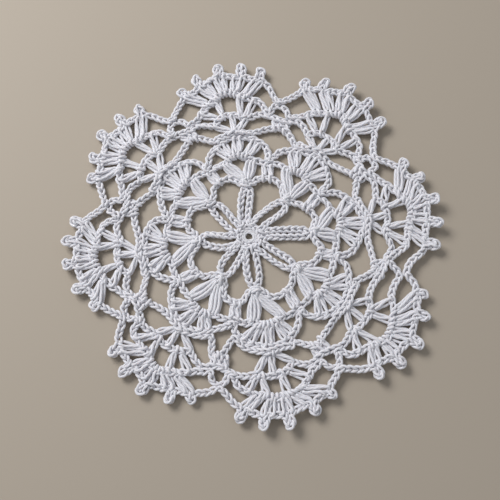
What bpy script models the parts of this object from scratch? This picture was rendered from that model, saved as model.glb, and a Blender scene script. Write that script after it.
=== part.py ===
"""Crocheted coaster: one round openwork mat of eight fans, modelled as a thin sheet.

The sheet has the mat's scalloped outline with its picots, the largest of the gaps between the
chains, and the slight lift of each fan off the table. Its middle lies flat on the table.
Origin: the centre of the mat, on the surface it lies on. +Z is up. A fan points along +Y.
"""

import math
from collections import namedtuple

import bmesh
import bpy

# ---------------------------------------------------------------- driving sizes, in metres
REACH = 0.055           # from the centre to the tip of a fan's middle picot
THICKNESS = 0.0016      # of the crocheted fabric
FANS = 8
SECTOR = 2 * math.pi / FANS
FIRST_FAN = math.pi / 2

# The fans leave the table outside the flat middle. Shares of REACH, and metres at the rim.
FLAT_MIDDLE = 0.56
FAN_LIFTS = (0.0012, 0.0022, 0.0028, 0.0016, 0.0024, 0.0010, 0.0018, 0.0006)

# ---------------------------------------------------------------- the rim of one fan
# Angles are in degrees from the fan's axis, anticlockwise. Reaches are shares of REACH.
Picot = namedtuple("Picot", "angle tip foot_before foot_after")
PICOTS = (
    Picot(angle=15.2, tip=0.919, foot_before=0.845, foot_after=0.872),
    Picot(angle=8.0, tip=0.967, foot_before=0.880, foot_after=0.912),
    Picot(angle=0.0, tip=1.000, foot_before=0.922, foot_after=0.928),
    Picot(angle=-7.9, tip=0.986, foot_before=0.925, foot_after=0.905),
    Picot(angle=-15.1, tip=0.959, foot_before=0.895, foot_after=0.872),
)
# A picot is a small ring of thread: half its width at its foot, its belly and its rounded end, and
# how far below the tip its belly lies.
PICOT_FOOT = 0.023
PICOT_BELLY = 0.029
PICOT_END = 0.013
BELLY_DROP = 0.026

# The dip between two fans, where their side chains meet.
DIP_ANGLE = -21.8
DIP_REACH = 0.800

# ---------------------------------------------------------------- the gaps of one sector
# reach and angle place a gap's centre. length runs along its own axis and width across it,
# taper widens its outer end, and lean turns its axis from the radius, anticlockwise.
Gap = namedtuple("Gap", "name reach angle length width taper lean")
GAPS = (
    Gap("between_spokes", reach=0.220, angle=18.5, length=0.190, width=0.124, taper=0.38, lean=0),
    Gap("beside_left_petal", reach=0.392, angle=15.4, length=0.066, width=0.044, taper=0.0, lean=24),
    Gap("beside_right_petal", reach=0.378, angle=-17.2, length=0.076, width=0.040, taper=0.0, lean=-12),
    Gap("under_shell", reach=0.408, angle=-1.6, length=0.056, width=0.050, taper=0.3, lean=0),
    Gap("left_of_shell", reach=0.462, angle=13.2, length=0.044, width=0.048, taper=0.0, lean=0),
    Gap("right_of_shell", reach=0.462, angle=-14.8, length=0.044, width=0.048, taper=0.0, lean=0),
    Gap("diamond", reach=0.552, angle=21.8, length=0.122, width=0.168, taper=0.0, lean=0),
    Gap("long_left", reach=0.648, angle=11.6, length=0.128, width=0.040, taper=0.2, lean=78),
    Gap("long_right", reach=0.648, angle=-14.0, length=0.134, width=0.044, taper=0.1, lean=-86),
    Gap("ring", reach=0.715, angle=22.2, length=0.040, width=0.056, taper=0.0, lean=0),
    Gap("fan_heart", reach=0.768, angle=-1.5, length=0.088, width=0.082, taper=0.0, lean=0),
    Gap("corner_left", reach=0.784, angle=14.6, length=0.105, width=0.056, taper=-0.1, lean=-46),
    Gap("corner_right", reach=0.797, angle=-16.4, length=0.112, width=0.044, taper=-0.1, lean=48),
)
WIDE_GAP = 0.08         # a gap at least this long is drawn with more points
WIDE_GAP_POINTS = 14
SMALL_GAP_POINTS = 8

COTTON_COLOUR = (0.78, 0.78, 0.81, 1.0)
COTTON_ROUGHNESS = 0.9


def clear_scene():
    """Remove every object that is in the file."""
    for item in list(bpy.data.objects):
        bpy.data.objects.remove(item, do_unlink=True)


def polar(reach, angle):
    """Return the plan position at a share of REACH and an angle in radians."""
    return (REACH * reach * math.cos(angle), REACH * reach * math.sin(angle))


def fan_axis(fan):
    """Return the direction of a fan, counted clockwise from the first."""
    return FIRST_FAN - fan * SECTOR


def picot_outline(axis, picot):
    """Return the points around one picot, from its anticlockwise foot to its clockwise foot."""
    direction = axis + math.radians(picot.angle)
    belly = picot.tip - BELLY_DROP
    stations = (
        (picot.foot_before, PICOT_FOOT),
        (belly, PICOT_BELLY),
        (picot.tip, PICOT_END),
        (picot.tip, -PICOT_END),
        (belly, -PICOT_BELLY),
        (picot.foot_after, -PICOT_FOOT),
    )
    return [polar(reach, direction + aside / reach) for reach, aside in stations]


def rim_outline():
    """Return the whole scalloped rim, clockwise: each fan's picots, then the dip after it."""
    points = []
    for fan in range(FANS):
        axis = fan_axis(fan)
        for picot in PICOTS:
            points += picot_outline(axis, picot)
        points.append(polar(DIP_REACH, axis + math.radians(DIP_ANGLE)))
    return points


def gap_outline(axis, gap):
    """Return the egg-shaped outline of one gap."""
    middle = axis + math.radians(gap.angle)
    centre_x, centre_y = polar(gap.reach, middle)
    along_gap = middle + math.radians(gap.lean)
    points = []
    steps = WIDE_GAP_POINTS if gap.length >= WIDE_GAP else SMALL_GAP_POINTS
    for step in range(steps):
        turn = 2 * math.pi * step / steps
        along = REACH * gap.length / 2 * math.cos(turn)
        across = REACH * gap.width / 2 * math.sin(turn) * (1 + gap.taper * math.cos(turn))
        x = centre_x + along * math.cos(along_gap) - across * math.sin(along_gap)
        y = centre_y + along * math.sin(along_gap) + across * math.cos(along_gap)
        points.append((x, y))
    return points


def add_closed_line(curve, points):
    """Add one closed line of straight steps to a flat curve."""
    spline = curve.splines.new("POLY")
    spline.points.add(len(points) - 1)
    for point, (x, y) in zip(spline.points, points):
        point.co = (x, y, 0.0, 1.0)
    spline.use_cyclic_u = True


def flat_sheet_mesh():
    """Fill the rim around the gaps, give the sheet its thickness and return its welded mesh."""
    curve = bpy.data.curves.new("mat_outline", "CURVE")
    curve.dimensions = "2D"
    curve.fill_mode = "BOTH"
    curve.extrude = THICKNESS / 2
    add_closed_line(curve, rim_outline())
    for fan in range(FANS):
        for gap in GAPS:
            add_closed_line(curve, gap_outline(fan_axis(fan), gap))

    outline = bpy.data.objects.new("mat_outline", curve)
    bpy.context.scene.collection.objects.link(outline)
    bpy.context.view_layer.update()
    depsgraph = bpy.context.evaluated_depsgraph_get()
    mesh = bpy.data.meshes.new_from_object(outline.evaluated_get(depsgraph))
    bpy.data.objects.remove(outline, do_unlink=True)
    return mesh


def lift_at(x, y):
    """Return how far the underside stands off the table at a plan position."""
    share = (math.hypot(x, y) / REACH - FLAT_MIDDLE) / (1 - FLAT_MIDDLE)
    if share <= 0:
        return 0.0
    turn = (FIRST_FAN - math.atan2(y, x)) / SECTOR % FANS
    before = int(turn)
    blend = (1 - math.cos(math.pi * (turn - before))) / 2
    rim_lift = FAN_LIFTS[before] * (1 - blend) + FAN_LIFTS[(before + 1) % FANS] * blend
    return rim_lift * share * share


def even_out_faces(body):
    """Turn the edges inside the flat top and bottom so that no long slivers are left there."""
    for side in (1, -1):
        faces = [face for face in body.faces if face.normal.z * side > 0.5]
        inside = set(faces)
        edges = [edge for edge in body.edges if inside.issuperset(edge.link_faces)]
        bmesh.ops.beautify_fill(body, faces=faces, edges=edges)


def build_mat(material):
    """Make the mat as one closed sheet whose fans lift off the table."""
    mesh = flat_sheet_mesh()
    mesh.name = "crochet_mat"
    body = bmesh.new()
    body.from_mesh(mesh)
    bmesh.ops.remove_doubles(body, verts=body.verts, dist=0.00001)
    bmesh.ops.triangulate(body, faces=body.faces)
    bmesh.ops.recalc_face_normals(body, faces=body.faces)
    even_out_faces(body)
    for corner in body.verts:
        corner.co.z += THICKNESS / 2 + lift_at(corner.co.x, corner.co.y)
    body.to_mesh(mesh)
    body.free()

    mat = bpy.data.objects.new("crochet_mat", mesh)
    mesh.materials.clear()
    mesh.materials.append(material)
    bpy.context.scene.collection.objects.link(mat)
    return mat


def cotton_material():
    """Return the white cotton of the thread."""
    material = bpy.data.materials.new("white_cotton")
    material.use_nodes = True
    shader = material.node_tree.nodes["Principled BSDF"]
    shader.inputs["Base Color"].default_value = COTTON_COLOUR
    shader.inputs["Roughness"].default_value = COTTON_ROUGHNESS
    shader.inputs["Metallic"].default_value = 0.0
    return material


def main():
    clear_scene()
    build_mat(cotton_material())


main()
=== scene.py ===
"""A crocheted cotton lace coaster with eight fans, worked stitch by stitch in nine rounds.

The first is a coil of plain thread in a ring of stitches. Every other round is one chain of looped
thread, most of them with upright stitches hooked over the round before.
The chart gives each round in shares of the mat's reach, and the stitches are worked along it.
"""

import math
from functools import partial

import bpy
import numpy as np
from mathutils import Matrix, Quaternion, Vector


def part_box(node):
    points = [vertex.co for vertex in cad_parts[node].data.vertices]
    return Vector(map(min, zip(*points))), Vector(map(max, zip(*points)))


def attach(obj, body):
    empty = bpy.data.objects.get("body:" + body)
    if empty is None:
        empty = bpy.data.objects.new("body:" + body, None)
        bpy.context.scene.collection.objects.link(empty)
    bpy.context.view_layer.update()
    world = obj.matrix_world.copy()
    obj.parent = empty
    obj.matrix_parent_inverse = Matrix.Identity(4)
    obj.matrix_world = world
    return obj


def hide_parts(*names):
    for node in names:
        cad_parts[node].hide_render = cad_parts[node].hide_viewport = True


bl_info = {
    "name": "Crocheted Coaster",
    "version": (1, 0, 0),
    "blender": (4, 5, 0),
    "location": "View3D > Sidebar > Crochet",
    "description": "Works a lace coaster from thread, round by round",
    "category": "Add Mesh",
}

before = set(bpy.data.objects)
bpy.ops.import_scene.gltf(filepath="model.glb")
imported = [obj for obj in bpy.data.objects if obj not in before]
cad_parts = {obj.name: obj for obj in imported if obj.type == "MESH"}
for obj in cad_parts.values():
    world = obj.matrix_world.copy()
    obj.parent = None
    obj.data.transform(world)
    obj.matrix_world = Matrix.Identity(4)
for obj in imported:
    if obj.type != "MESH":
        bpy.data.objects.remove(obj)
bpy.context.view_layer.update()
MAT_NODE = "crochet_mat"
BODY = "root"
MAT_LOW, MAT_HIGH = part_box(MAT_NODE)
REACH = (MAT_HIGH.x - MAT_LOW.x) / 2
COTTON = "cotton_thread"
THREAD_MAP = "thread"                   # the map that runs round and along the thread
FLOOR_SIZE = 4.0
FLOOR_GAP = 0.00005
FLOOR_ROUGHNESS = 0.7
CAMERA_NEAR, CAMERA_FAR = 0.005, 10.0

# ------------------------------------------------------------------ the mat's shape

FANS = 8
FAN_STEP = 2 * math.pi / FANS
FIRST_FAN = math.pi / 2                 # the first fan's axis; the others follow clockwise
FLAT_MIDDLE = 0.56                      # share of the reach that lies flat
# How high each fan's rim lifts off the surface, in metres.
FAN_LIFTS = (0.0012, 0.0022, 0.0028, 0.0016, 0.0024, 0.0010, 0.0018, 0.0006)

UNPULLED = (1.0,) * FANS
UNTURNED = (0.0,) * FANS
# How the hand pulled each ring out of its chart: the axes it is counted from, where it sets in and
# where it fades, in shares of the reach, then fan by fan its reach and its turn in degrees.
PULLS = [
    # The spokes' feet, which turn towards the start ring.
    ("spoke", (0.03, 0.06), (0.08, 0.24),
     UNPULLED, (9.5, 10.0, 5.5, -2.0, 0.0, 0.0, 9.0, 5.0)),
    # The spokes.
    ("spoke", (0.03, 0.09), (0.30, 0.43),
     (0.97, 0.92, 1.12, 1.01, 1.03, 0.98, 1.0, 0.98), (1.0, -7.0, -4.0, -1.0, -4.0, 3.5, 1.5, 0.5)),
    # The arches between them.
    ("arch", (0.29, 0.32), (0.36, 0.42),
     (1.02, 0.99, 1.04, 1.03, 1.12, 1.06, 1.06, 1.04), UNTURNED),
    # The petals' tips.
    ("fan", (0.30, 0.38), (0.42, 0.50),
     (0.97, 0.94, 0.98, 1.0, 1.01, 1.03, 1.0, 0.99), (0.0, 0.5, -1.0, -1.0, 1.5, 1.5, 0.5, 1.5)),
    # The shells and the long arches.
    ("fan", (0.33, 0.45), (0.72, 0.92),
     (0.98, 0.97, 1.03, 1.03, 1.05, 1.04, 1.02, 1.0), (0.0, -2.0, -1.5, -3.0, -1.0, -0.5, 0.5, 0.5)),
    # The fans and the picots.
    ("fan", (0.50, 0.90), (1.5, 2.0),
     (0.99, 1.01, 1.0, 1.03, 1.0, 0.99, 0.99, 1.01), (0.5, 1.0, 0.0, -0.5, 0.0, 0.0, -0.5, 0.0)),
]
MIDDLE_OFF = (-0.021, -0.011)           # where the start ring lies, in shares of the reach
MIDDLE_END, MIDDLE_FADE = 0.28, 0.22    # how far out that ends, and over what length it fades

# Small waves that keep any line from lying quite straight: how far, where they set in and fade, and
# each wave's number across, number along and start.
WANDER = 0.0035
WANDER_GROWS, WANDER_FADES = (0.1, 0.3), (0.9, 1.0)
WANDER_ACROSS = ((0, 23, 1.3), (31, -17, 0.4))
WANDER_ALONG = ((27, 0, 2.1), (19, 29, 1.7))

# Axes that the chart's places are measured from, in degrees anticlockwise of the fan's own.
AXES = {"fan": 0.0, "before": 22.5, "after": -22.5, "spoke": -5.0, "arch": -27.5}

# ------------------------------------------------------------------ the chart
# Rows are: axis, aside (+ is clockwise), out, rise. Aside and out are shares of the reach,
# and rise is how far the stitch lies above the mat's plane, in thread thicknesses.

# The thread's first turns: so many of them, how far out they lie, and their rise. The end is tucked under.
START_COIL = [(0.0, 0.036, 0.2), (0.2, 0.0225, 1.4), (2.2, 0.0345, 1.4)]
COIL_POINTS = 60
HEAD_RING_RADIUS = 0.059
HEAD_RING_RISE = 0.3
HEAD_RING_POINTS = 48
HEAD_RING_PITCH = 0.0016                # its stitches are tighter than a chain's, in metres

SPOKE_SIDE = [
    ("spoke", 0.020, 0.075, 0.3), ("spoke", 0.022, 0.12, 0), ("spoke", 0.024, 0.18, 0),
    ("spoke", 0.022, 0.23, 0), ("spoke", 0.012, 0.262, 0),
]
SPOKE_TIP = ("spoke", 0.0, 0.268, 0)
SPOKE_FOOT = ("arch", 0.0, 0.062, 0.6)
SPOKE_SPREADS = (1.0, 1.4, 0.75, 1.0, 1.3, 1.45, 1.4, 1.2)      # how open each spoke's loop lies

ARCH = [
    ("spoke", 0.0, 0.285, 0.8), ("spoke", 0.032, 0.292, 0.2), ("arch", -0.055, 0.315, 0),
    ("arch", 0.0, 0.33, 0), ("arch", 0.055, 0.315, 0), ("spoke_next", -0.032, 0.292, 0.2),
]

PETAL_FOOT = ("fan", 0.02, 0.295, 0.3)
PETAL_TIPS = [("fan", -0.058, 0.422, 0), ("fan", 0.076, 0.419, 0)]
PETAL_BOWS = (-0.011, 0.0, 0.011)
PETAL_TIP_SPREAD = 1.5
PAIR_FOOT, PAIR_TOP = ("after", 0.005, 0.335, 0), ("after", 0.008, 0.42, 0)
PAIR_ASIDES = (-0.0135, 0.0135)         # the pair of stitches on an arch
PETAL_CHAIN = [
    ("before", 0.0, 0.425, 0), ("fan", -0.115, 0.42, 0), ("fan", -0.068, 0.428, 0),
    ("fan", -0.03, 0.446, 0), ("fan", 0.01, 0.457, 0), ("fan", 0.045, 0.446, 0),
    ("fan", 0.082, 0.425, 0), ("fan", 0.125, 0.415, 0),
]

SHELL_POSTS = [
    (("fan", -0.042, 0.446, 0.2), ("fan", -0.1, 0.509, 0)),
    (("fan", -0.023, 0.453, 0.6), ("fan", -0.063, 0.539, 0)),
    (("fan", 0.001, 0.458, 0.2), ("fan", 0.01, 0.562, 0)),
    (("fan", 0.023, 0.458, 0.6), ("fan", 0.044, 0.56, 0)),
    (("fan", 0.045, 0.453, 0.2), ("fan", 0.108, 0.53, 0)),
    (("fan", 0.061, 0.446, 0.6), ("fan", 0.138, 0.5, 0)),
]
SHELL_CHAIN = [
    ("before", 0.0, 0.442, 0.8), ("fan", -0.156, 0.437, 0), ("fan", -0.146, 0.47, 0),
    ("fan", -0.118, 0.503, 0), ("fan", -0.07, 0.543, 0), ("fan", -0.03, 0.558, 0),
    ("fan", 0.01, 0.566, 0), ("fan", 0.05, 0.558, 0), ("fan", 0.088, 0.543, 0),
    ("fan", 0.132, 0.512, 0), ("fan", 0.164, 0.48, 0), ("fan", 0.176, 0.44, 0),
]
SHELL_WIDTH = 1.25

LONG_ARCH = [
    ("fan", 0.015, 0.586, 1.3), ("fan", 0.055, 0.577, 1.0),
    ("after", -0.12, 0.565, 0), ("after", -0.06, 0.595, 0), ("after", -0.01, 0.62, 0),
    ("after", 0.025, 0.638, 0), ("after", 0.06, 0.61, 0), ("after", 0.1, 0.57, 0),
    ("after", 0.13, 0.545, 0), ("fan_next", -0.1, 0.562, 0.3), ("fan_next", -0.04, 0.57, 1.0),
]

# One long arch, after the fan of that number, is drawn up narrow between its two shells.
ODD_LONG_ARCHES = {4: [
    ("fan", 0.015, 0.586, 1.3), ("fan", 0.06, 0.578, 1.0), ("fan", 0.105, 0.56, 0.4),
    ("fan", 0.143, 0.533, 0.4), ("fan", 0.163, 0.497, 0.4), ("after", -0.018, 0.53, 0),
    ("after", 0.0, 0.57, 0), ("after", 0.022, 0.615, 0), ("after", 0.045, 0.638, 0),
    ("after", 0.068, 0.615, 0), ("after", 0.078, 0.57, 0), ("after", 0.085, 0.54, 0.3),
    ("fan_next", -0.125, 0.53, 0.4), ("fan_next", -0.09, 0.553, 0.4), ("fan_next", -0.04, 0.572, 1.0),
]}

TRIO_POSTS = [
    (("fan", 0.002, 0.592, 0.5), ("fan", -0.08, 0.65, 0)),
    (("fan", 0.015, 0.597, 0.5), ("fan", 0.019, 0.687, 0)),
    (("fan", 0.028, 0.592, 0.5), ("fan", 0.096, 0.66, 0)),
]
TRIO_WIDTH = 1.2
# Where the trios' round crosses a long arch, it is worked down into the arch's middle.
VALLEY_POSTS = [
    (("after", -0.006, 0.628, 0), ("after", -0.014, 0.673, 0)),
    (("after", 0.02, 0.637, 0), ("after", 0.018, 0.676, 0)),
    (("after", 0.046, 0.624, 0), ("after", 0.05, 0.673, 0)),
]
VALLEY_WIDTH = 1.2
TRIO_CHAIN = [
    ("fan", -0.08, 0.652, 0), ("fan", -0.05, 0.68, 0), ("fan", -0.02, 0.69, 0),
    ("fan", 0.02, 0.695, 0), ("fan", 0.06, 0.69, 0), ("fan", 0.095, 0.67, 0),
    ("fan", 0.14, 0.675, 0), ("fan", 0.188, 0.674, 0),
]
TRIO_VALLEY = [
    ("after", -0.035, 0.685, 0.4), ("after", 0.015, 0.676, 0.8), ("after", 0.055, 0.68, 0.4),
    ("after", 0.092, 0.688, 0), ("after", 0.134, 0.668, 0),
]
# In one valley this chain sags.
ODD_TRIO_VALLEYS = {2: [
    ("after", -0.035, 0.68, 0.4), ("after", 0.01, 0.67, 0.8), ("after", 0.052, 0.658, 0.4),
    ("after", 0.092, 0.645, 0), ("after", 0.134, 0.635, 0),
]}

# The last number of a square's stitch is its width, a share of a lone stitch's.
SQUARE_POSTS = [
    (("fan", -0.052, 0.686, 0), ("fan", -0.138, 0.736, 0), 1.45),
    (("fan", -0.025, 0.695, 0), ("fan", -0.045, 0.805, 0), 1.2),
    (("fan", 0.075, 0.69, 0), ("fan", 0.08, 0.80, 0), 1.2),
    (("fan", 0.1, 0.683, 0), ("fan", 0.167, 0.755, 0), 1.45),
]
ODD_SQUARE_POSTS = {4: [
    SQUARE_POSTS[0], (("fan", -0.012, 0.695, 0), ("fan", -0.02, 0.812, 0), 1.7), *SQUARE_POSTS[2:],
]}
SQUARE_CHAIN = [
    ("fan", -0.14, 0.735, 0), ("fan", -0.097, 0.773, 0), ("fan", -0.048, 0.803, 0),
    ("fan", -0.015, 0.825, 0), ("fan", 0.02, 0.832, 0), ("fan", 0.055, 0.823, 0),
    ("fan", 0.08, 0.80, 0), ("fan", 0.125, 0.78, 0), ("fan", 0.165, 0.757, 0),
    ("fan", 0.192, 0.738, 0),
]
SQUARE_VALLEY = [
    ("after", -0.086, 0.735, 0), ("after", -0.068, 0.703, 0.3), ("after", -0.048, 0.695, 0.6),
    ("after", -0.04, 0.72, 0.4), ("after", -0.028, 0.747, 0.2), ("after", 0.005, 0.76, 0),
    ("after", 0.04, 0.74, 0.2), ("after", 0.054, 0.70, 0.6), ("after", 0.085, 0.709, 0),
    ("after", 0.12, 0.716, 0),
]
# In one valley the squares' chain was left open, and the edge above it lies shallow.
ODD_SQUARE_VALLEYS = {2: [
    ("after", -0.086, 0.733, 0), ("after", -0.05, 0.702, 0.2), ("after", -0.02, 0.682, 0.8),
    ("after", -0.004, 0.702, 0.6), ("after", 0.012, 0.737, 0.2), ("after", 0.035, 0.756, 0),
    ("after", 0.075, 0.742, 0), ("after", 0.125, 0.73, 0),
]}

# The stitches of one fan, two to each picot.
FAN_POSTS = [
    (("fan", -0.106, 0.778, 0), ("fan", -0.214, 0.834, 0)),
    (("fan", -0.085, 0.788, 0), ("fan", -0.184, 0.854, 0)),
    (("fan", -0.052, 0.806, 0), ("fan", -0.12, 0.884, 0)),
    (("fan", -0.03, 0.816, 0), ("fan", -0.083, 0.899, 0)),
    (("fan", -0.006, 0.825, 0), ("fan", -0.018, 0.918, 0)),
    (("fan", 0.018, 0.828, 0), ("fan", 0.03, 0.921, 0)),
    (("fan", 0.044, 0.822, 0), ("fan", 0.086, 0.91, 0)),
    (("fan", 0.066, 0.814, 0), ("fan", 0.123, 0.899, 0)),
    (("fan", 0.098, 0.796, 0), ("fan", 0.194, 0.866, 0)),
    (("fan", 0.119, 0.784, 0), ("fan", 0.224, 0.843, 0)),
]
FAN_WIDTH = 1.28
# The edge between two picots, and each picot's own tip: aside and out.
EDGE = [
    (("fan", -0.202, 0.838, 0), (-0.240, 0.887)),
    (("fan", -0.165, 0.859, 0), None),
    (("fan", -0.118, 0.881, 0), (-0.134, 0.958)),
    (("fan", -0.06, 0.907, 0), None),
    (("fan", 0.004, 0.922, 0), (0.004, 1.0)),
    (("fan", 0.064, 0.915, 0), None),
    (("fan", 0.116, 0.899, 0), (0.138, 0.979)),
    (("fan", 0.166, 0.881, 0), None),
    (("fan", 0.213, 0.852, 0), (0.25, 0.926)),
    (("fan", 0.252, 0.815, 0), None),
]
EDGE_VALLEY = [
    ("after", -0.062, 0.826, 0), ("after", -0.032, 0.79, 0.4), ("after", -0.002, 0.772, 0.8),
    ("after", 0.045, 0.806, 0), ("after", 0.1, 0.838, 0),
]
ODD_EDGE_VALLEYS = {2: [
    ("after", -0.045, 0.812, 0), ("after", -0.012, 0.792, 0.6), ("after", 0.022, 0.789, 0.8),
    ("after", 0.044, 0.815, 0.2), ("after", 0.08, 0.845, 0),
]}
PICOT_HALF_WIDTH = 0.0105
PICOT_SETBACK = 0.017                   # from a picot's outer tip in to its thread's path
PICOT_NECK = 0.15                       # where a picot is full wide, a share of its length
PICOT_ROUND = 0.7                       # how far its end is rounded, a share of its half width

# ------------------------------------------------------------------ the stitches
# One chain stitch: along (shares of the pitch), aside (shares of the half width), up (thicknesses).
CHAIN_STITCH = np.array([
    (-0.05, -0.10, -0.60), (0.05, -0.35, -0.10), (0.25, -0.60, 0.45), (0.60, -1.00, 0.35),
    (1.00, -0.95, 0.10), (1.30, -0.50, -0.10), (1.38, 0.00, -0.15), (1.30, 0.50, -0.10),
    (1.00, 0.95, 0.10), (0.60, 1.00, 0.35), (0.25, 0.60, 0.45), (0.05, 0.35, -0.10),
    (0.15, 0.15, -0.60), (0.50, 0.05, -0.85), (0.80, -0.05, -0.75),
])
# Upright stitches: share of the height, then along, aside and up in thread thicknesses.
DOUBLE_STITCH = np.array([
    (1.00, 0.6, -0.15, 0.05), (0.95, 0.0, -0.60, -0.15), (0.78, 0.0, -0.76, -0.15),
    (0.50, 0.0, -0.70, -0.12), (0.25, 0.0, -0.60, -0.05), (0.08, 0.0, -0.54, 0.25),
    (0.00, 0.2, -0.50, 0.85), (0.00, -0.9, -0.30, 0.75), (0.00, -1.35, 0.0, 0.0),
    (0.00, -0.9, 0.30, -0.75), (0.00, 0.3, 0.50, -0.75), (0.18, 0.0, 0.58, -0.20),
    (0.45, 0.0, 0.68, -0.12), (0.72, 0.0, 0.76, -0.12), (0.93, 0.0, 0.62, -0.05),
    (1.00, 0.4, 0.20, 0.35), (0.94, 0.1, -0.36, 0.62), (0.76, 0.0, -0.34, 0.52),
    (0.54, 0.0, -0.06, 0.48), (0.32, 0.0, 0.20, 0.48), (0.14, 0.0, 0.26, 0.52),
    (0.04, 0.2, 0.05, 0.30),
])
# A petal's stitch is closed together with its neighbours, so it is narrow at both ends.
PETAL_STITCH = np.array([
    (1.00, 0.6, -0.10, 0.05), (0.94, 0.0, -0.40, -0.15), (0.75, 0.0, -0.62, -0.15),
    (0.50, 0.0, -0.60, -0.12), (0.25, 0.0, -0.44, -0.05), (0.08, 0.0, -0.34, 0.25),
    (0.00, 0.2, -0.30, 0.85), (0.00, -0.9, -0.20, 0.75), (0.00, -1.35, 0.0, 0.0),
    (0.00, -0.9, 0.20, -0.75), (0.00, 0.3, 0.30, -0.75), (0.18, 0.0, 0.40, -0.20),
    (0.45, 0.0, 0.60, -0.12), (0.70, 0.0, 0.62, -0.12), (0.93, 0.0, 0.42, -0.05),
    (1.00, 0.4, 0.15, 0.40), (0.93, 0.1, -0.20, 0.66), (0.72, 0.0, -0.14, 0.60),
    (0.50, 0.0, 0.04, 0.58), (0.28, 0.0, 0.14, 0.56), (0.12, 0.0, 0.15, 0.55),
    (0.04, 0.2, 0.05, 0.30),
])


# ------------------------------------------------------------------ places on the mat

def smooth_step(low, high, value):
    share = np.clip((value - low) / (high - low), 0.0, 1.0)
    return share * share * (3 - 2 * share)


def round_the_fans(values, angle):
    """A value of each fan, blended from fan to fan by angle."""
    turns = ((FIRST_FAN - angle) / FAN_STEP) % FANS
    fan = np.floor(turns).astype(int)
    share = (1 - np.cos((turns - fan) * math.pi)) / 2
    table = np.asarray(values)
    return table[fan % FANS] * (1 - share) + table[(fan + 1) % FANS] * share


def lift_at(x, y):
    """How far the mat's plane lies above the surface: flat in the middle, raised at the fans."""
    share = np.clip((np.hypot(x, y) / REACH - FLAT_MIDDLE) / (1 - FLAT_MIDDLE), 0.0, None)
    return round_the_fans(FAN_LIFTS, np.arctan2(y, x)) * share ** 2


def hand_made(x, y):
    """A charted place, in shares of the reach, as the hand worked it: a little off, fan by fan."""
    radius, angle = np.hypot(x, y), np.arctan2(y, x)
    off_middle = np.clip((MIDDLE_END - radius) / MIDDLE_FADE, 0.0, 1.0)
    reach, turn = 1.0, 0.0
    for axis, grows, fades, reaches, turns in PULLS:
        share = smooth_step(*grows, radius) * (1 - smooth_step(*fades, radius))
        from_axis = angle - math.radians(AXES[axis])
        reach = reach + share * (round_the_fans(reaches, from_axis) - 1)
        turn = turn + share * round_the_fans(turns, from_axis)
    radius, angle = radius * reach, angle + np.radians(turn)
    x = radius * np.cos(angle) + off_middle * MIDDLE_OFF[0]
    y = radius * np.sin(angle) + off_middle * MIDDLE_OFF[1]
    wander = WANDER * smooth_step(*WANDER_GROWS, radius) * (1 - smooth_step(*WANDER_FADES, radius))
    x = x + wander * sum(np.sin(across * x + along * y + start) for across, along, start in WANDER_ACROSS)
    y = y + wander * sum(np.sin(across * x + along * y + start) for across, along, start in WANDER_ALONG)
    return x, y


def place(fan, row, thickness):
    """A chart row's point on one fan's share of the mat, in metres."""
    axis, aside, out, rise = row
    if axis.endswith("_next"):
        axis, fan = axis.removesuffix("_next"), fan + 1
    angle = FIRST_FAN - fan * FAN_STEP + math.radians(AXES[axis])
    x = out * math.cos(angle) + aside * math.sin(angle)
    y = out * math.sin(angle) - aside * math.cos(angle)
    x, y = hand_made(x, y)
    x, y = x * REACH, y * REACH
    return np.array((x, y, lift_at(x, y) + rise * thickness))


# ------------------------------------------------------------------ smooth lines

CURVE_STEPS = 12                        # points between two given ones, before they are evened out
PATH_SPACING = 0.0001                   # between two points of a round's path
NEXT_TO_NOTHING = 1e-9                  # keeps a distance that is divided by from being nought


def smooth_line(points, closed, spacing):
    """Points at even spacing on a smooth curve through the given ones."""
    points = np.asarray(points, float)
    if closed:
        ring = np.vstack([points[-1:], points, points[:2]])
    else:
        first, last = 2 * points[0] - points[1], 2 * points[-1] - points[-2]
        ring = np.vstack([first, points, last])
    gaps = np.sqrt(np.linalg.norm(np.diff(ring, axis=0), axis=1)) + NEXT_TO_NOTHING
    p0, p1, p2, p3 = ring[:-3], ring[1:-2], ring[2:-1], ring[3:]
    g0, g1, g2 = gaps[:-2, None], gaps[1:-1, None], gaps[2:, None]
    out_slope = g1 * ((p1 - p0) / g0 - (p2 - p0) / (g0 + g1) + (p2 - p1) / g1)
    in_slope = g1 * ((p2 - p1) / g1 - (p3 - p1) / (g1 + g2) + (p3 - p2) / g2)
    share = (np.arange(CURVE_STEPS) / CURVE_STEPS)[:, None, None]
    curve = ((2 * share ** 3 - 3 * share ** 2 + 1) * p1 + (share ** 3 - 2 * share ** 2 + share) * out_slope
             + (3 * share ** 2 - 2 * share ** 3) * p2 + (share ** 3 - share ** 2) * in_slope)
    curve = curve.transpose(1, 0, 2).reshape(-1, 3)
    curve = np.vstack([curve, points[:1] if closed else points[-1:]])
    travelled = np.concatenate([[0], np.cumsum(np.linalg.norm(np.diff(curve, axis=0), axis=1))])
    count = max(2, int(round(travelled[-1] / spacing)))
    even = np.linspace(0, travelled[-1], count + 1)
    return np.stack([np.interp(even, travelled, curve[:, i]) for i in range(3)], axis=1)


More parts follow.
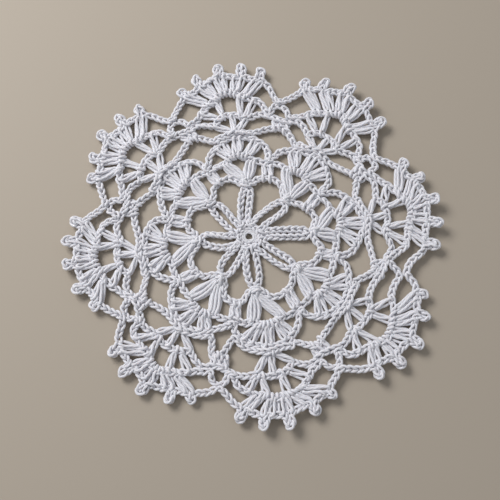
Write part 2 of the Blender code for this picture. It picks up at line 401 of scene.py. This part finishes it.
class Route:
    """A round's closed path, which gives its place and directions at any distance along it."""

    def __init__(self, points):
        self.points = smooth_line(points, True, PATH_SPACING)
        ends = np.vstack([self.points[-2:-1], self.points, self.points[1:2]])
        slopes = ends[2:] - ends[:-2]
        self.slopes = slopes / np.linalg.norm(slopes, axis=1)[:, None]
        gaps = np.linalg.norm(np.diff(self.points, axis=0), axis=1)
        self.travelled = np.concatenate([[0], np.cumsum(gaps)])
        self.length = self.travelled[-1]

    def at(self, distance):
        """Place, forward, aside and up there; aside points to the right of the way it goes."""
        distance = np.mod(distance, self.length)
        middle, forward = (
            np.stack([np.interp(distance, self.travelled, table[:, i]) for i in range(3)], axis=-1)
            for table in (self.points, self.slopes))
        forward /= np.linalg.norm(forward, axis=-1, keepdims=True)
        aside = np.stack([forward[..., 1], -forward[..., 0], np.zeros(forward.shape[:-1])], axis=-1)
        aside /= np.linalg.norm(aside, axis=-1, keepdims=True)
        return middle, forward, aside, np.cross(aside, forward)


# ------------------------------------------------------------------ thread

SEARCH_EVERY = 4                        # settle turns between two searches for touching threads
SEARCH_REACH = 1.35                     # how far such a search looks, in contact distances
ONE_BEND = 4                            # points so near each other on a thread don't press
ROLL_WAVES = ((0.6, 0.0031), (0.5, 0.0071), (0.3, 0.0017))      # shares of the roll, metres a radian
SHIFTED_SHARE = 0.1                     # how far an upright stitch's bends may slide, in lengths of it
SEAM_SIDE = (0.31, 0.22, 0.93)          # which side of a thread its seam starts on
LID_SPAN = (0.0, 0.05, 0.05, 0.0)       # how far round the thread the map of an end reaches


def close_pairs(points, reach):
    """Each pair of points that lie nearer than reach, found by sorting them into cells of that size."""
    cell = np.floor((points - points.min(axis=0)) / reach).astype(np.int64) + 1
    spans = cell.max(axis=0) + 2
    strides = np.array((spans[1] * spans[2], spans[2], 1))
    key = cell @ strides
    order = np.argsort(key, kind="stable")
    ordered = key[order]
    offsets = [(i, j, k) for i in (-1, 0, 1) for j in (-1, 0, 1) for k in (-1, 0, 1)]
    pairs = []
    for offset in offsets[len(offsets) // 2:]:
        other = key + np.dot(offset, strides)
        low = np.searchsorted(ordered, other, "left")
        count = np.searchsorted(ordered, other, "right") - low
        first = np.repeat(np.arange(len(points)), count)
        place_in_cell = np.arange(count.sum()) - np.repeat(np.cumsum(count) - count, count)
        second = order[np.repeat(low, count) + place_in_cell]
        near = np.linalg.norm(points[first] - points[second], axis=1) < reach
        near &= (first < second) | any(offset)
        pairs.append(np.stack([first[near], second[near]]))
    return np.hstack(pairs)


def settle(lines, yarn):
    """Moves crossing threads apart until they lie on each other, and none reaches into the surface."""
    points = np.vstack(lines)
    home = points.copy()
    owner = np.repeat(np.arange(len(lines)), [len(line) for line in lines])
    inside = np.zeros(len(points), bool)
    inside[1:-1] = (owner[:-2] == owner[1:-1]) & (owner[2:] == owner[1:-1])
    long_enough = np.array([len(line) for line in lines]) * yarn.sample_step > yarn.longest_upright
    press = np.where(long_enough, yarn.contact, yarn.tight_contact)[owner] * yarn.thickness
    for turn in range(yarn.settle_turns):
        if turn % SEARCH_EVERY == 0:
            one, two = close_pairs(points, press.max() * SEARCH_REACH)
            apart = (owner[one] != owner[two]) | (np.abs(one - two) > ONE_BEND)
            one, two = one[apart], two[apart]
            contact = (press[one] + press[two]) / 2
        gap = points[one] - points[two]
        distance = np.linalg.norm(gap, axis=1) + NEXT_TO_NOTHING
        push = gap * (np.clip(contact - distance, 0, None) / distance * 0.5)[:, None]
        touched = distance < contact
        counts = np.bincount(one, touched, len(points)) + np.bincount(two, touched, len(points))
        for axis in range(3):
            move = (np.bincount(one, push[:, axis], len(points))
                    - np.bincount(two, push[:, axis], len(points)))
            points[:, axis] += move / np.sqrt(np.maximum(counts, 1))
        moved = points - home
        smooth = moved.copy()
        smooth[1:-1] = (moved[:-2] + 2 * moved[1:-1] + moved[2:]) / 4
        moved[inside] = smooth[inside]
        points = home + moved
        points[:, 2] = np.maximum(points[:, 2], yarn.thickness / 2)
    ends = np.cumsum([len(line) for line in lines])[:-1]
    return np.split(points, ends)


def chain_thread(route, yarn, hand, pitch=None):
    """The thread of a chain of looped stitches along a route."""
    count = max(3, int(round(route.length / (pitch or yarn.chain_pitch))))
    pitch = route.length / count
    stitch = np.repeat(np.arange(count), len(CHAIN_STITCH))
    along, aside, up = np.tile(CHAIN_STITCH, (count, 1)).T
    uneven = yarn.unevenness
    width = hand.normal(1.0, uneven, count)[stitch]
    shift = hand.normal(0.0, uneven / 2, count)[stitch]
    distance = (stitch + along + shift) * pitch
    starts = hand.uniform(0, 2 * math.pi, len(ROLL_WAVES))
    roll = yarn.chain_roll * sum(
        share * np.sin(distance / length + start) for (share, length), start in zip(ROLL_WAVES, starts))
    across = aside * yarn.chain_half_width * width
    above = up * yarn.thickness * hand.normal(1.0, uneven, len(up))
    middle, _, side, top = route.at(distance)
    turned = (across * np.cos(roll) - above * np.sin(roll))[:, None] * side
    turned += (across * np.sin(roll) + above * np.cos(roll))[:, None] * top
    return middle + turned + np.array((0, 0, yarn.rest_height))


def upright_thread(foot, top, stitch, yarn, hand, width=1.0, bow=0.0):
    """The thread of one upright stitch, hooked over the foot and caught in the chain at the top."""
    share, along, aside, up = stitch.T
    share = share + hand.uniform(-SHIFTED_SHARE, SHIFTED_SHARE) * np.sin(math.pi * share)
    way = top - foot
    length = np.linalg.norm(way)
    forward = way / length
    side = np.array((forward[1], -forward[0], 0.0))
    side /= np.linalg.norm(side)
    over = np.cross(side, forward)
    uneven = hand.normal(0.0, yarn.unevenness, (2, len(stitch)))
    ahead = share * length + along * yarn.thickness
    across = (aside * width + uneven[0]) * yarn.thickness + bow * 4 * share * (1 - share)
    above = (up + uneven[1]) * yarn.thickness
    points = foot + ahead[:, None] * forward + across[:, None] * side + above[:, None] * over
    return points + np.array((0, 0, yarn.rest_height))


def tube_corners(line, radius, sides):
    """Rings of corners round a line, without twist along it."""
    slope = np.gradient(line, axis=0)
    slope /= np.linalg.norm(slope, axis=1)[:, None]
    across = np.empty_like(line)
    last = np.cross(slope[0], SEAM_SIDE)
    for i, forward in enumerate(slope):
        last = last - forward * last.dot(forward)
        last = last / math.sqrt(last.dot(last))
        across[i] = last
    above = np.cross(slope, across)
    turn = np.arange(sides) * 2 * math.pi / sides
    rings = np.cos(turn)[:, None] * across[:, None] + np.sin(turn)[:, None] * above[:, None]
    return line[:, None] + rings * radius


def tube_faces(count, sides):
    """Quads round a tube of so many rings, closed at both ends."""
    ring = np.arange(count - 1)[:, None] * sides
    one = np.arange(sides)[None, :]
    two = (one + 1) % sides
    wall = np.stack([ring + one, ring + two, ring + sides + two, ring + sides + one], axis=-1)
    j = np.arange(sides // 2 - 1)
    lid = np.stack([j, j + 1, sides - 2 - j, sides - 1 - j], axis=-1)
    return np.vstack([wall.reshape(-1, 4), lid[:, ::-1], lid + (count - 1) * sides])


def tube_map(line, thickness, sides):
    """Round the thread from 0 to 1, and along it in thicknesses, for each quad's four corners."""
    gaps = np.linalg.norm(np.diff(line, axis=0), axis=1)
    along = np.concatenate([[0], np.cumsum(gaps)]) / thickness
    wall = np.empty((len(line) - 1, sides, 4, 2))
    wall[..., 0] = (np.arange(sides)[:, None] + np.array((0, 1, 1, 0))) / sides
    wall[..., :2, 1] = along[:-1, None, None]
    wall[..., 2:, 1] = along[1:, None, None]
    lids = np.zeros((sides - 2, 4, 2))
    lids[:, :, 0] = LID_SPAN
    lids[len(lids) // 2:, :, 1] = along[-1]
    return np.vstack([wall.reshape(-1, 4, 2), lids])


def thread_piece(name, lines, yarn):
    """One object of all the lines as round thread."""
    corners, faces, maps, first = [], [], [], 0
    for line in lines:
        short = len(line) * yarn.sample_step < yarn.longest_upright
        radius = yarn.thickness / 2 * (yarn.upright_fullness if short else 1.0)
        corners.append(tube_corners(line, radius, yarn.sides).reshape(-1, 3))
        faces.append(tube_faces(len(line), yarn.sides) + first)
        maps.append(tube_map(line, yarn.thickness, yarn.sides).reshape(-1, 2))
        first += len(line) * yarn.sides
    corners, faces, maps = np.vstack(corners), np.vstack(faces), np.vstack(maps)
    mesh = bpy.data.meshes.new(name)
    mesh.vertices.add(len(corners))
    mesh.vertices.foreach_set("co", corners.astype(np.float32).ravel())
    mesh.loops.add(faces.size)
    mesh.loops.foreach_set("vertex_index", faces.astype(np.int32).ravel())
    mesh.polygons.add(len(faces))
    mesh.polygons.foreach_set("loop_start", np.arange(0, faces.size, 4, dtype=np.int32))
    mesh.update(calc_edges=True)
    mesh.shade_smooth()
    mesh.uv_layers.new(name=THREAD_MAP)
    mesh.uv_layers[THREAD_MAP].uv.foreach_set("vector", maps.astype(np.float32).ravel())
    piece = bpy.data.objects.new(name, mesh)
    bpy.context.scene.collection.objects.link(piece)
    return piece


# ------------------------------------------------------------------ the nine rounds

def ring_points(turn, radius, rise, yarn):
    """Points round the start ring's middle, clockwise, each after so many turns."""
    angle = -2 * math.pi * turn
    x = (MIDDLE_OFF[0] + np.cos(angle) * radius) * REACH
    y = (MIDDLE_OFF[1] + np.sin(angle) * radius) * REACH
    return np.stack([x, y, np.full_like(x, rise * yarn.thickness)], axis=1)


def round_route(rows, yarn, odd=None):
    """The closed path of a round whose rows repeat at each fan, but for the odd fans given."""
    odd = odd or {}
    return Route([place(fan, row, yarn.thickness) for fan in range(FANS) for row in odd.get(fan, rows)])


def uprights(posts, stitch, yarn, hand, odd=None):
    """Upright stitches at each fan; a post is its foot, its top, its width and how far it bows aside."""
    odd = odd or {}
    return [
        upright_thread(place(fan, foot, yarn.thickness), place(fan, top, yarn.thickness),
                       stitch, yarn, hand, width, bow * REACH)
        for fan in range(FANS) for foot, top, width, bow in odd.get(fan, posts)]


def start_ring(yarn, hand):
    turns, radii, rises = zip(*START_COIL)
    turn = np.linspace(0, turns[-1], COIL_POINTS)
    coil = ring_points(turn, np.interp(turn, turns, radii), np.interp(turn, turns, rises), yarn)
    turn = np.arange(HEAD_RING_POINTS) / HEAD_RING_POINTS
    heads = ring_points(turn, HEAD_RING_RADIUS, HEAD_RING_RISE, yarn)
    return [coil, chain_thread(Route(heads), yarn, hand, HEAD_RING_PITCH)]


def spoke_loops(yarn, hand):
    points = []
    for fan, spread in enumerate(SPOKE_SPREADS):
        out_way = [(axis, -aside * spread, out, rise) for axis, aside, out, rise in SPOKE_SIDE]
        back_way = [(axis, aside * spread, out, rise) for axis, aside, out, rise in SPOKE_SIDE[::-1]]
        rows = out_way + [SPOKE_TIP] + back_way + [SPOKE_FOOT]
        points += [place(fan, row, yarn.thickness) for row in rows]
    return [chain_thread(Route(points), yarn, hand)]


def arches(yarn, hand):
    return [chain_thread(round_route(ARCH, yarn), yarn, hand)]


def moved_aside(row, amount):
    axis, aside, out, rise = row
    return axis, aside + amount, out, rise


def petals(yarn, hand):
    threads = [chain_thread(round_route(PETAL_CHAIN, yarn), yarn, hand)]
    posts = [(PETAL_FOOT, moved_aside(tip, bow * PETAL_TIP_SPREAD), 1, bow)
             for tip in PETAL_TIPS for bow in PETAL_BOWS]
    threads += uprights(posts, PETAL_STITCH, yarn, hand)
    posts = [(moved_aside(PAIR_FOOT, aside), moved_aside(PAIR_TOP, aside), 1, 0) for aside in PAIR_ASIDES]
    return threads + uprights(posts, DOUBLE_STITCH, yarn, hand)


def shells(yarn, hand):
    threads = [chain_thread(round_route(SHELL_CHAIN, yarn), yarn, hand)]
    posts = [(foot, top, SHELL_WIDTH, 0) for foot, top in SHELL_POSTS]
    return threads + uprights(posts, DOUBLE_STITCH, yarn, hand)


def long_arches(yarn, hand):
    return [chain_thread(round_route(LONG_ARCH, yarn, ODD_LONG_ARCHES), yarn, hand)]


def trios(yarn, hand):
    odd = {fan: TRIO_CHAIN + rows for fan, rows in ODD_TRIO_VALLEYS.items()}
    threads = [chain_thread(round_route(TRIO_CHAIN + TRIO_VALLEY, yarn, odd), yarn, hand)]
    posts = [(foot, top, TRIO_WIDTH, 0) for foot, top in TRIO_POSTS]
    posts += [(foot, top, VALLEY_WIDTH, 0) for foot, top in VALLEY_POSTS]
    return threads + uprights(posts, DOUBLE_STITCH, yarn, hand)


def squares(yarn, hand):
    odd = {fan: SQUARE_CHAIN + rows for fan, rows in ODD_SQUARE_VALLEYS.items()}
    threads = [chain_thread(round_route(SQUARE_CHAIN + SQUARE_VALLEY, yarn, odd), yarn, hand)]
    posts = [(foot, top, width, 0) for foot, top, width in SQUARE_POSTS]
    odd = {fan: [(foot, top, width, 0) for foot, top, width in rows]
           for fan, rows in ODD_SQUARE_POSTS.items()}
    return threads + uprights(posts, DOUBLE_STITCH, yarn, hand, odd)


def picot_rows(foot, tip):
    """A small loop of chain that stands out from the edge at a foot."""
    axis, aside, out, rise = foot
    way = np.array(tip) - (aside, out)
    length = math.hypot(*way)
    ahead = way / length
    left = np.array((-ahead[1], ahead[0])) * PICOT_HALF_WIDTH
    far = length - PICOT_SETBACK
    near = PICOT_NECK * far
    wide = far - PICOT_HALF_WIDTH * PICOT_ROUND
    steps = [(near, 1.0), (wide, 1.0), (far, 0.0), (wide, -1.0), (near, -1.0)]
    rows = []
    for reach, share in steps:
        x, y = (aside, out) + ahead * reach + left * share
        rows.append((axis, x, y, rise))
    return rows


def picot_fans(yarn, hand):
    edge = []
    for foot, tip in EDGE:
        edge += picot_rows(foot, tip) if tip else [foot]
    odd = {fan: edge + rows for fan, rows in ODD_EDGE_VALLEYS.items()}
    threads = [chain_thread(round_route(edge + EDGE_VALLEY, yarn, odd), yarn, hand)]
    posts = [(foot, top, FAN_WIDTH, 0) for foot, top in FAN_POSTS]
    return threads + uprights(posts, DOUBLE_STITCH, yarn, hand)


ROUNDS = {
    "round_1_start_ring": start_ring,
    "round_2_spoke_loops": spoke_loops,
    "round_3_arches": arches,
    "round_4_petals": petals,
    "round_5_shells": shells,
    "round_6_long_arches": long_arches,
    "round_7_trios": trios,
    "round_8_squares": squares,
    "round_9_picot_fans": picot_fans,
}


# ------------------------------------------------------------------ the cotton

class Sock:
    """A socket in a material, so that its maths reads as ordinary expressions."""

    def __init__(self, tree, socket):
        self.tree, self.socket = tree, socket

    @classmethod
    def node(cls, tree, kind, settings=None, out=0, **inputs):
        """A node of any kind: its settings, then its inputs by name, or by number as i0, i1, ..."""
        made = tree.nodes.new(kind)
        for name, value in (settings or {}).items():
            setattr(made, name, value)
        for name, value in inputs.items():
            numbered = name[0] == "i" and name[1:].isdigit()
            socket = made.inputs[int(name[1:]) if numbered else name.replace("_", " ")]
            if isinstance(value, Sock):
                tree.links.new(value.socket, socket)
            else:
                socket.default_value = value
        return cls(tree, made.outputs[out] if made.outputs else None)

    def math(self, operation, *values):
        inputs = {f"i{number}": value for number, value in enumerate(values)}
        return Sock.node(self.tree, "ShaderNodeMath", {"operation": operation}, **inputs)

    def __add__(self, other):
        return self.math("ADD", self, other)

    def __sub__(self, other):
        return self.math("SUBTRACT", self, other)

    def __rsub__(self, other):
        return self.math("SUBTRACT", other, self)

    def __mul__(self, other):
        return self.math("MULTIPLY", self, other)

    __radd__ = __add__
    __rmul__ = __mul__


def cotton_material(cotton):
    """White cotton thread: its plies twisted together, with fine fibres, and shade painted into the colour
    between the plies.
    """
    material = bpy.data.materials.new(COTTON)
    material.use_nodes = True
    tree = material.node_tree
    tree.nodes.clear()
    node = partial(Sock.node, tree)
    thread = node("ShaderNodeUVMap", {"uv_map": THREAD_MAP})
    around = node("ShaderNodeSeparateXYZ", Vector=thread)
    along = node("ShaderNodeSeparateXYZ", out=1, Vector=thread)
    turn = (around + along * (1 / cotton.twist_length)) * (cotton.plies * math.pi)
    ply = turn.math("ABSOLUTE", turn.math("SINE", turn))
    where = node("ShaderNodeTexCoord", out=3)
    fibre = node("ShaderNodeTexNoise", Vector=where, Scale=1 / cotton.fibre_size, Detail=3.0)
    cloud = node("ShaderNodeTexNoise", Vector=where, Scale=1 / cotton.cloud_size, Detail=2.0)
    # Painted shade: the colour darkens towards the groove shade between the plies, where shade falls, and
    # the fibres and clouds vary its tone at random.
    shade = 1 - (1 - ply) * cotton.painted_ply_shade
    shade = shade * (1 + (fibre - 0.5) * cotton.fibre_shade) * (1 + (cloud - 0.5) * cotton.cloud_shade)
    colour = node("ShaderNodeMix", {"data_type": "RGBA"}, out=2,
                  i0=shade, i6=(*cotton.groove_shade_and_dark_tone, 1), i7=(*cotton.colour, 1))
    bump = node("ShaderNodeBump", Strength=cotton.bump, Distance=cotton.bump_height,
                Height=ply * cotton.ply_height + fibre * cotton.fibre_height)
    finish = node("ShaderNodeBsdfPrincipled", Base_Color=colour, Normal=bump,
                  Roughness=cotton.roughness, Specular_IOR_Level=cotton.shine,
                  Sheen_Weight=cotton.sheen, Sheen_Roughness=cotton.sheen_roughness,
                  Subsurface_Weight=cotton.glow, Subsurface_Scale=cotton.glow_depth,
                  Subsurface_Radius=cotton.glow_reach)
    node("ShaderNodeOutputMaterial", Surface=finish)
    return material


# ------------------------------------------------------------------ settings

class YarnSettings(bpy.types.PropertyGroup):
    thickness: bpy.props.FloatProperty(
        name="Thickness", description="Thickness of the thread", default=0.00075, unit="LENGTH")
    chain_pitch: bpy.props.FloatProperty(
        name="Chain pitch", description="Length of one chain stitch", default=0.0019, unit="LENGTH")
    chain_half_width: bpy.props.FloatProperty(
        name="Chain half width", description="From a chain's middle to the thread at its side",
        default=0.00047, unit="LENGTH")
    chain_roll: bpy.props.FloatProperty(
        name="Chain roll", description="How far a chain turns over along its way",
        default=math.radians(35), subtype="ANGLE")
    rest_height: bpy.props.FloatProperty(
        name="Rest height", description="From the surface up to the middle of a chain",
        default=0.00080, unit="LENGTH")
    unevenness: bpy.props.FloatProperty(
        name="Unevenness", description="How much one stitch differs from the next", default=0.07)
    contact: bpy.props.FloatProperty(
        name="Contact", description="Distance of two threads that press on each other, in thicknesses",
        default=0.82)
    tight_contact: bpy.props.FloatProperty(
        name="Tight contact", description="The same in an upright stitch, which is pulled tight",
        default=0.62)
    longest_upright: bpy.props.FloatProperty(
        name="Longest upright", description="Thread in the longest upright stitch", default=0.08,
        unit="LENGTH")
    upright_fullness: bpy.props.FloatProperty(
        name="Upright fullness", description="How much fuller the thread is in an upright stitch",
        default=1.14)
    settle_turns: bpy.props.IntProperty(
        name="Settle turns", description="How often touching threads are moved apart", default=60)
    sample_step: bpy.props.FloatProperty(
        name="Sample step", description="Distance between two rings of a thread's tube",
        default=0.00036, unit="LENGTH")
    sides: bpy.props.IntProperty(
        name="Sides", description="Sides of a thread's tube, an even number", default=8)
    seed: bpy.props.IntProperty(name="Seed", description="Start of the hand's unevenness", default=7)


class CottonSettings(bpy.types.PropertyGroup):
    colour: bpy.props.FloatVectorProperty(
        name="Colour", description="Colour of the cotton", subtype="COLOR", size=3,
        default=(0.83, 0.82, 0.86))
    # Painted shade between the plies. The same dark colour is also the dark end of the fibres' and clouds'
    # random tone.
    groove_shade_and_dark_tone: bpy.props.FloatVectorProperty(
        name="Groove colour", description="Colour between the plies", subtype="COLOR", size=3,
        default=(0.46, 0.43, 0.46))
    roughness: bpy.props.FloatProperty(
        name="Roughness", description="Roughness of the cotton", default=0.85)
    shine: bpy.props.FloatProperty(
        name="Shine", description="How much light the thread throws straight back", default=0.25)
    sheen: bpy.props.FloatProperty(
        name="Sheen", description="Soft shine of the fibres", default=0.15)
    sheen_roughness: bpy.props.FloatProperty(
        name="Sheen roughness", description="How widely that shine spreads", default=0.4)
    glow: bpy.props.FloatProperty(
        name="Glow", description="How much light passes through the thread", default=0.35)
    glow_depth: bpy.props.FloatProperty(
        name="Glow depth", description="How deep that light goes", default=0.0006, unit="LENGTH")
    glow_reach: bpy.props.FloatVectorProperty(
        name="Glow reach", description="How deep red, green and blue go, as shares of that depth",
        size=3, default=(1.0, 0.9, 0.85))
    plies: bpy.props.IntProperty(
        name="Plies", description="Strands that the thread is twisted from", default=3)
    twist_length: bpy.props.FloatProperty(
        name="Twist length", description="Length of one turn of the plies, in thicknesses", default=6.0)
    fibre_size: bpy.props.FloatProperty(
        name="Fibre size", description="Size of the finest unevenness", default=0.0002, unit="LENGTH")
    cloud_size: bpy.props.FloatProperty(
        name="Cloud size", description="Size of the lighter and darker places", default=0.006,
        unit="LENGTH")
    # Painted shade: how far the colour is darkened between the plies.
    painted_ply_shade: bpy.props.FloatProperty(
        name="Ply shade", description="How much darker it is between the plies", default=0.45)
    fibre_shade: bpy.props.FloatProperty(
        name="Fibre shade", description="From the darkest fibre to the lightest", default=0.2)
    cloud_shade: bpy.props.FloatProperty(
        name="Cloud shade", description="From its darkest place to its lightest", default=0.3)
    bump: bpy.props.FloatProperty(
        name="Bump", description="Strength of the plies and fibres", default=0.6)
    bump_height: bpy.props.FloatProperty(
        name="Bump height", description="Depth between the plies", default=0.00008, unit="LENGTH")
    ply_height: bpy.props.FloatProperty(
        name="Ply height", description="The plies' share of that depth", default=0.8)
    fibre_height: bpy.props.FloatProperty(
        name="Fibre height", description="The fibres' share of that depth", default=0.35)


class StageSettings(bpy.types.PropertyGroup):
    floor_colour: bpy.props.FloatVectorProperty(
        name="Floor colour", description="Colour of the plain floor", subtype="COLOR", size=3,
        default=(0.43, 0.37, 0.30))
    sky_colour: bpy.props.FloatVectorProperty(
        name="Sky colour", description="Colour of the light from all round", subtype="COLOR", size=3,
        default=(0.93, 0.96, 1.0))
    sky_strength: bpy.props.FloatProperty(
        name="Sky strength", description="Strength of the light from all round", default=0.38)
    window_power: bpy.props.FloatProperty(
        name="Window power", description="Power of the big soft light", default=2.9, unit="POWER")
    window_side: bpy.props.FloatVectorProperty(
        name="Window side", description="Which way the big soft light stands from the mat", size=3,
        subtype="DIRECTION", default=(-0.50, 0.62, 0.75))
    window_distance: bpy.props.FloatProperty(
        name="Window distance", description="From the mat to the big soft light", default=0.6,
        unit="LENGTH")
    window_size: bpy.props.FloatVectorProperty(
        name="Window size", description="Width and height of the big soft light", size=2,
        subtype="XYZ_LENGTH", default=(0.30, 0.22))
    camera_azimuth: bpy.props.FloatProperty(
        name="Camera azimuth", description="Where the camera stands round the mat",
        default=math.radians(-13), subtype="ANGLE")
    camera_elevation: bpy.props.FloatProperty(
        name="Camera elevation", description="How high above the surface the camera looks from",
        default=math.radians(75.7), subtype="ANGLE")
    camera_roll: bpy.props.FloatProperty(
        name="Camera roll", description="How far the camera is turned about its view",
        default=math.radians(2), subtype="ANGLE")
    camera_distance: bpy.props.FloatProperty(
        name="Camera distance", description="From the mat to the camera", default=0.187, unit="LENGTH")
    camera_view: bpy.props.FloatProperty(
        name="Camera view", description="How wide the camera sees", default=math.radians(41.8),
        subtype="ANGLE")
    camera_aim: bpy.props.FloatVectorProperty(
        name="Camera aim", description="The place on the surface that the camera looks at", size=2,
        subtype="XYZ_LENGTH", default=(-0.0015, -0.0042))


# ------------------------------------------------------------------ operators

WORKED = {}                             # each round's threads, once they have been worked


def show_round(context, name):
    """One round's threads as a piece of the mat."""
    if name not in WORKED:
        raise RuntimeError("work the thread first")
    piece = thread_piece(name, WORKED[name], context.scene.coaster_yarn)
    piece.data.materials.append(bpy.data.materials[COTTON])
    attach(piece, BODY)


class SpinCotton(bpy.types.Operator):
    """Make the white cotton"""
    bl_idname = "coaster.spin_cotton"
    bl_label = "Spin Cotton"

    def execute(self, context):
        cotton_material(context.scene.coaster_cotton)
        return {"FINISHED"}


class WorkThread(bpy.types.Operator):
    """Work the thread of all nine rounds, and let it settle where it crosses"""
    bl_idname = "coaster.work_thread"
    bl_label = "Work Thread"

    def execute(self, context):
        yarn = context.scene.coaster_yarn
        for number, (name, work) in enumerate(ROUNDS.items()):
            hand = np.random.RandomState(yarn.seed + number)
            WORKED[name] = [smooth_line(thread, False, yarn.sample_step) for thread in work(yarn, hand)]
        names = [name for name in WORKED for _ in WORKED[name]]
        settled = settle([line for lines in WORKED.values() for line in lines], yarn)
        for name in WORKED:
            WORKED[name] = [line for line, owner in zip(settled, names) if owner == name]
        return {"FINISHED"}


class Round1StartRing(bpy.types.Operator):
    """Show round 1, the coil of thread in the middle and the stitch heads round it"""
    bl_idname = "coaster.round_1"
    bl_label = "Round 1: Start Ring"

    def execute(self, context):
        show_round(context, "round_1_start_ring")
        return {"FINISHED"}


class Round2SpokeLoops(bpy.types.Operator):
    """Show round 2, the eight long loops that lie as spokes"""
    bl_idname = "coaster.round_2"
    bl_label = "Round 2: Spoke Loops"

    def execute(self, context):
        show_round(context, "round_2_spoke_loops")
        return {"FINISHED"}


class Round3Arches(bpy.types.Operator):
    """Show round 3, an arch of chain from spoke to spoke"""
    bl_idname = "coaster.round_3"
    bl_label = "Round 3: Arches"

    def execute(self, context):
        show_round(context, "round_3_arches")
        return {"FINISHED"}


class Round4Petals(bpy.types.Operator):
    """Show round 4, two petals on each spoke and a pair of stitches on each arch"""
    bl_idname = "coaster.round_4"
    bl_label = "Round 4: Petals"

    def execute(self, context):
        show_round(context, "round_4_petals")
        return {"FINISHED"}


class Round5Shells(bpy.types.Operator):
    """Show round 5, a shell of stitches over each pair of petals"""
    bl_idname = "coaster.round_5"
    bl_label = "Round 5: Shells"

    def execute(self, context):
        show_round(context, "round_5_shells")
        return {"FINISHED"}


class Round6LongArches(bpy.types.Operator):
    """Show round 6, a long arch of chain from shell to shell"""
    bl_idname = "coaster.round_6"
    bl_label = "Round 6: Long Arches"

    def execute(self, context):
        show_round(context, "round_6_long_arches")
        return {"FINISHED"}


class Round7Trios(bpy.types.Operator):
    """Show round 7, three stitches that spread from the middle of each shell"""
    bl_idname = "coaster.round_7"
    bl_label = "Round 7: Trios"

    def execute(self, context):
        show_round(context, "round_7_trios")
        return {"FINISHED"}


class Round8Squares(bpy.types.Operator):
    """Show round 8, an open square with two stitches on each side of it at each fan"""
    bl_idname = "coaster.round_8"
    bl_label = "Round 8: Squares"

    def execute(self, context):
        show_round(context, "round_8_squares")
        return {"FINISHED"}


class Round9PicotFans(bpy.types.Operator):
    """Show round 9, the fans and their edge with five picots each"""
    bl_idname = "coaster.round_9"
    bl_label = "Round 9: Picot Fans"

    def execute(self, context):
        show_round(context, "round_9_picot_fans")
        return {"FINISHED"}


class Stage(bpy.types.Operator):
    """Put the coaster on a plain pale floor, in soft light, under the camera"""
    bl_idname = "coaster.stage"
    bl_label = "Stage"

    def execute(self, context):
        stage = context.scene.coaster_stage
        bpy.ops.object.select_all(action="DESELECT")
        bpy.ops.mesh.primitive_plane_add(size=FLOOR_SIZE, location=(0, 0, -FLOOR_GAP))
        floor = context.active_object
        floor.name = "floor"
        paint = bpy.data.materials.new("floor_paint")
        paint.use_nodes = True
        shader = paint.node_tree.nodes["Principled BSDF"]
        shader.inputs["Base Color"].default_value = (*stage.floor_colour, 1)
        shader.inputs["Roughness"].default_value = FLOOR_ROUGHNESS
        floor.data.materials.append(paint)

        sky = bpy.data.worlds.new("sky")
        sky.use_nodes = True
        sky.node_tree.nodes["Background"].inputs["Color"].default_value = (*stage.sky_colour, 1)
        sky.node_tree.nodes["Background"].inputs["Strength"].default_value = stage.sky_strength
        context.scene.world = sky

        toward = Vector(stage.window_side).normalized()
        bpy.ops.object.light_add(type="AREA", location=toward * stage.window_distance)
        window = context.active_object
        window.name = "window"
        window.data.shape = "RECTANGLE"
        window.data.size, window.data.size_y = stage.window_size
        window.data.energy = stage.window_power
        window.rotation_mode = "QUATERNION"
        window.rotation_quaternion = toward.to_track_quat("Z", "Y")

        level = math.cos(stage.camera_elevation)
        back = Vector((math.sin(stage.camera_azimuth) * level, -math.cos(stage.camera_azimuth) * level,
                       math.sin(stage.camera_elevation)))
        aim = Vector((*stage.camera_aim, 0.0))
        bpy.ops.object.camera_add(location=aim + back * stage.camera_distance)
        camera = context.active_object
        camera.name = "camera"
        camera.rotation_mode = "QUATERNION"
        turned = Quaternion(back, stage.camera_roll)
        camera.rotation_quaternion = turned @ (-back).to_track_quat("-Z", "Y")
        camera.data.sensor_fit = "HORIZONTAL"
        camera.data.angle = stage.camera_view
        camera.data.clip_start, camera.data.clip_end = CAMERA_NEAR, CAMERA_FAR
        context.scene.camera = camera
        context.scene.view_settings.view_transform = "Standard"
        return {"FINISHED"}


ROUND_OPERATORS = (
    Round1StartRing, Round2SpokeLoops, Round3Arches, Round4Petals, Round5Shells, Round6LongArches,
    Round7Trios, Round8Squares, Round9PicotFans,
)
STEPS = (SpinCotton, WorkThread, *ROUND_OPERATORS, Stage)


class CoasterPanel(bpy.types.Panel):
    """The steps that make the coaster, in order, and their settings"""
    bl_idname = "COASTER_PT_steps"
    bl_label = "Crocheted Coaster"
    bl_space_type = "VIEW_3D"
    bl_region_type = "UI"
    bl_category = "Crochet"

    def draw(self, context):
        for step in STEPS:
            self.layout.operator(step.bl_idname)
        for settings in (context.scene.coaster_yarn, context.scene.coaster_cotton,
                         context.scene.coaster_stage):
            box = self.layout.box()
            for name in settings.__annotations__:
                box.prop(settings, name)


# ------------------------------------------------------------------ the add-on

CLASSES = (YarnSettings, CottonSettings, StageSettings, *STEPS, CoasterPanel)


def register():
    for item in CLASSES:
        bpy.utils.register_class(item)
    bpy.types.Scene.coaster_yarn = bpy.props.PointerProperty(type=YarnSettings)
    bpy.types.Scene.coaster_cotton = bpy.props.PointerProperty(type=CottonSettings)
    bpy.types.Scene.coaster_stage = bpy.props.PointerProperty(type=StageSettings)


def unregister():
    del bpy.types.Scene.coaster_stage
    del bpy.types.Scene.coaster_cotton
    del bpy.types.Scene.coaster_yarn
    for item in reversed(CLASSES):
        bpy.utils.unregister_class(item)


def main():
    register()
    coaster = bpy.ops.coaster
    coaster.spin_cotton()
    coaster.work_thread()
    coaster.round_1()
    coaster.round_2()
    coaster.round_3()
    coaster.round_4()
    coaster.round_5()
    coaster.round_6()
    coaster.round_7()
    coaster.round_8()
    coaster.round_9()
    coaster.stage()
    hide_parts(MAT_NODE)


if __name__ == "__main__":
    main()
